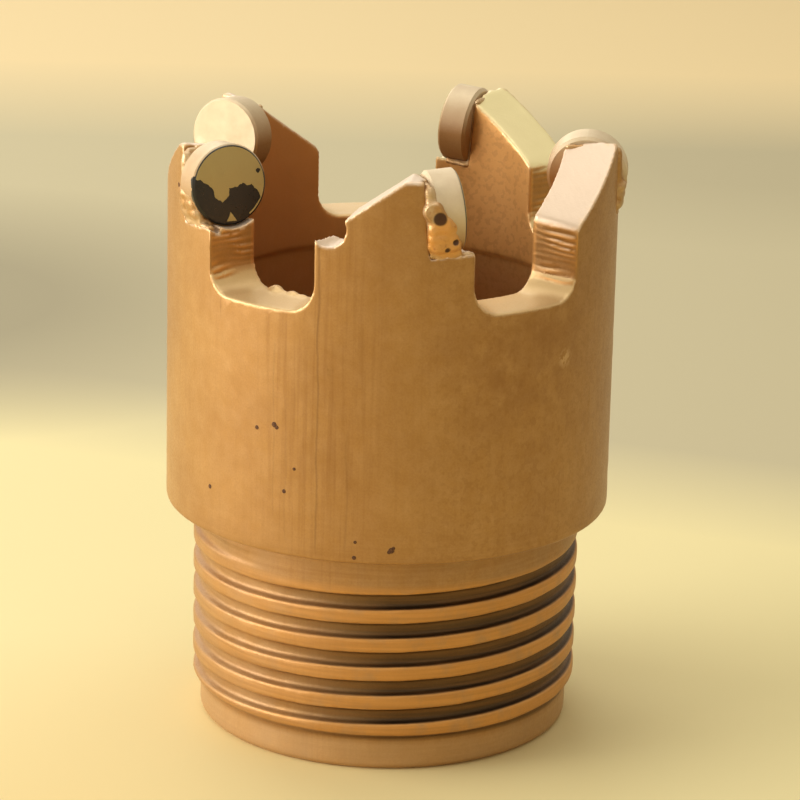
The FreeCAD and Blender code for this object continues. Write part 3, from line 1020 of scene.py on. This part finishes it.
class COREBIT_OT_braze(bpy.types.Operator):
    """Runs the braze round each cutter's slot"""
    bl_idname = "corebit.braze"
    bl_label = "Braze"

    def execute(self, context):
        sizes = context.scene.bit_sizes
        material = bronze_paint_on_silver_braze(context.scene.bit_colours)
        for number in CUTTERS:
            dice = random.Random(sizes.seed * 10 + number)
            seat = cutter_seat(number)
            runs = BRAZE_RUNS + (PORE_COLLAR if number == 2 else [])
            lumps = [lump for one in runs for lump in run(seat, *one)]
            joint = merged_copy(f"braze_joint_{number}")
            self.tuck(joint, seat)
            mesh = with_lumps(joint, jittered(lumps, dice, 0.09))
            bead = grown(f"braze_bead_{number}", mesh, material,
                         {"Smallest": 0.94, "Largest": 1.07, "Seed": sizes.seed + number},
                         sizes.braze_grid, 13)
            self.pores(bead.data, seat, PORES.get(number, []))
            keep_in_box(bead.data)
            dress(bead, material, "braze", f"braze_joint_{number}")
        return {"FINISHED"}

    def tuck(self, mesh, seat):
        """Draws the joint's upper outer corner in under the stud's side, as braze wets it."""
        points, _ = coordinates(mesh)
        outward, up = np.array(seat[1]), np.array(seat[3])
        away = points - np.array(seat[0])
        out, rise, behind = away @ outward / MM, away @ up / MM, -(away @ np.array(seat[2])) / MM
        reach = np.hypot(out, rise)
        loose = (out > 3) * (rise > 1.5) * (behind < 5.2)
        pull = loose * np.minimum(0, (STUD_RADIUS - 0.2) / reach - 1) * MM
        move(mesh, points + (pull * out)[:, None] * outward + (pull * rise)[:, None] * up)

    def pores(self, mesh, seat, places):
        """Sinks the pores where the braze didn't close, and marks them dark: flux in the small ones, and
        painted shade in the large, shallow one by the second cutter.
        """
        points, _ = coordinates(mesh)
        outward = np.array(seat[1])
        dark = np.zeros(len(points))
        for place, radius, depth in places:
            away = points - np.array(on_seat(seat, *place))
            along = away @ outward
            across = np.linalg.norm(away - along[:, None] * outward, axis=1) / (radius * MM)
            near = (along > -3 * MM) * (across < 1)
            points -= (near * (1 - across ** 2) * depth * MM)[:, None] * outward
            dark = np.maximum(dark, near * step(1 - across, 0.0, 0.25))
        move(mesh, points)
        mark(mesh, "pore_flux_and_shade", dark)


# Chips in the paint: angle, height and radius in millimetres
CHIPS = [
    (-34.3, 59.8, 0.33), (-29.2, 60.9, 0.45), (-28.5, 60.5, 0.4), (-23.5, 53.9, 0.3),
    (-26.2, 49.8, 0.3), (-50.6, 47.0, 0.42), (-7.5, 42.5, 0.28), (-7.7, 39.8, 0.32),
    (0.9, 41.0, 0.36), (1.5, 41.3, 0.42), (2.0, 41.7, 0.3), (-68.5, 95.9, 0.38),
    (118.0, 66.0, 0.35), (151.0, 52.0, 0.42), (206.0, 58.0, 0.3), (237.0, 47.0, 0.38),
]


class COREBIT_OT_chips(bpy.types.Operator):
    """Puts the rusty flecks on the barrel where paint has come off"""
    bl_idname = "corebit.chips"
    bl_label = "Paint chips"

    def execute(self, context):
        sizes = context.scene.bit_sizes
        material = rust_in_a_paint_chip(context.scene.bit_colours)
        points = [(polar(angle, GAUGE_RADIUS, height * MM), radius * MM)
                  for angle, height, radius in CHIPS]
        mesh = with_lumps(bpy.data.meshes.new("paint_chips"), points)
        chips = grown("paint_chips", mesh, material,
                      {"Smallest": 0.9, "Largest": 1.2, "Flatness": 0.14, "Seed": sizes.seed})
        dress(chips, material, "painted_steel")
        return {"FINISHED"}


class COREBIT_OT_stage(bpy.types.Operator):
    """Lays the table, and sets the lights and the camera"""
    bl_idname = "corebit.stage"
    bl_label = "Stage"

    def execute(self, context):
        stage = context.scene.bit_stage
        self.floor(stage)
        self.sky(context.scene, stage)
        aim = Vector((0, 0, 0.06))
        for name, place, width, height, power in (
                ("back_softbox", (-0.35, 0.85, 0.62), 0.8, 0.8, stage.back_power),
                ("side_softbox", (-0.95, -0.02, 0.38), 0.8, 0.7, stage.side_power),
                ("low_softbox", (-0.92, -0.3, 0.25), 0.7, 0.46, stage.low_power),
                ("top_softbox", (0, 0.1, 1.1), 0.9, 0.9, stage.top_power),
                ("front_softbox", (0.2, -0.95, 0.8), 0.6, 0.6, stage.front_power)):
            data = bpy.data.lights.new(name, "AREA")
            data.shape = "RECTANGLE"
            data.size = width
            data.size_y = height
            data.energy = power
            lamp = bpy.data.objects.new(name, data)
            lamp.visible_camera = False
            lamp.location = place
            lamp.rotation_euler = (aim - Vector(place)).to_track_quat("-Z", "Y").to_euler()
            context.scene.collection.objects.link(lamp)
        self.camera(context.scene, stage)
        context.scene.view_settings.view_transform = "Standard"
        return {"FINISHED"}

    def floor(self, stage):
        """A wide pale table whose far part is duller, with painted shadows on it behind the bit."""
        made, where = new_material("matt_table_top")
        parts = put(where, "ShaderNodeSeparateXYZ", {"Vector": where}).outputs
        side, depth = parts["X"], parts["Y"]
        before = product(ramp(depth, 0.03, -0.06), ramp(side, 0.05, -0.05))
        slanted = combine("ADD", depth, product(side, 0.35))
        tone = coat(stage.floor_near,
                    (before, stage.floor_front, 1.0),
                    (ramp(slanted, 0.112, 0.168), stage.floor_far, 1.0),
                    # two painted shadows on the table behind the bit
                    (patch(where, (-0.12, 0.25, 0), 115, 40), stage.painted_floor_shadow, 1.0),
                    (patch(where, (0.1, 0.41, 0), 100, 30), stage.painted_floor_shadow, 0.35),
                    (ramp(depth, 0.42, 0.52), stage.floor_end, 1.0))
        show(put(where, "ShaderNodeBsdfPrincipled", {"Base Color": tone, "Roughness": 0.8}))
        mesh = bpy.data.meshes.new("table_top")
        reach = 6.0
        mesh.from_pydata([(-reach, -reach, 0), (reach, -reach, 0), (reach, reach, 0), (-reach, reach, 0)],
                         [], [(0, 1, 2, 3)])
        mesh.materials.append(made)
        new_piece("table_top", mesh)

    def sky(self, scene, stage):
        """Soft light from all round, and a pale backdrop for the camera and for reflections."""
        world = bpy.data.worlds.new("studio")
        world.use_nodes = True
        tree = world.node_tree
        tree.nodes.clear()
        seen = put(tree, "ShaderNodeLightPath").outputs
        direct = combine("MAXIMUM", seen["Is Camera Ray"], seen["Is Glossy Ray"],
                         seen["Is Transmission Ray"])
        soft = put(tree, "ShaderNodeBackground", {"Color": stage.sky, "Strength": stage.sky_strength})
        pale = put(tree, "ShaderNodeBackground", {"Color": stage.backdrop, "Strength": 1.0})
        both = put(tree, "ShaderNodeMixShader", {0: direct, 1: soft.outputs[0], 2: pale.outputs[0]})
        put(tree, "ShaderNodeOutputWorld", {"Surface": both.outputs[0]})
        scene.world = world

    def camera(self, scene, stage):
        """The photograph's view: 17 degrees down, almost on the axis, and rolled a little."""
        data = bpy.data.cameras.new("camera")
        data.lens = stage.lens
        data.sensor_width = 36.0
        data.dof.use_dof = False
        camera = bpy.data.objects.new("camera", data)
        place = Matrix.Translation((0, -0.6185, 0.2480))
        for angle, axis in ((-0.18, "Z"), (90 - 17.31, "X"), (1.34, "Z")):
            place = place @ Matrix.Rotation(math.radians(angle), 4, axis)
        camera.matrix_world = place
        scene.collection.objects.link(camera)
        scene.camera = camera


class COREBIT_PT_panel(bpy.types.Panel):
    """Lists the steps that dress the bit"""
    bl_idname = "COREBIT_PT_panel"
    bl_label = "Core Bit"
    bl_space_type = "VIEW_3D"
    bl_region_type = "UI"
    bl_category = "Core Bit"

    def draw(self, context):
        for step_class in STEPS:
            self.layout.operator(step_class.bl_idname)
        for group in (context.scene.bit_colours, context.scene.bit_sizes, context.scene.bit_stage):
            box = self.layout.box()
            for name in group.__annotations__:
                box.prop(group, name)


GROUPS = {"bit_colours": BitColours, "bit_sizes": BitSizes, "bit_stage": BitStage}
STEPS = (COREBIT_OT_stage, COREBIT_OT_body, COREBIT_OT_cutters, COREBIT_OT_braze, COREBIT_OT_chips)


def register():
    for shape in (*GROUPS.values(), *STEPS, COREBIT_PT_panel):
        bpy.utils.register_class(shape)
    for name, group in GROUPS.items():
        setattr(bpy.types.Scene, name, PointerProperty(type=group))


def unregister():
    for name in GROUPS:
        delattr(bpy.types.Scene, name)
    for shape in reversed((*GROUPS.values(), *STEPS, COREBIT_PT_panel)):
        bpy.utils.unregister_class(shape)


def main():
    register()
    bpy.ops.corebit.stage()
    bpy.ops.corebit.body()
    bpy.ops.corebit.cutters()
    bpy.ops.corebit.braze()
    bpy.ops.corebit.chips()


if __name__ == "__main__":
    main()
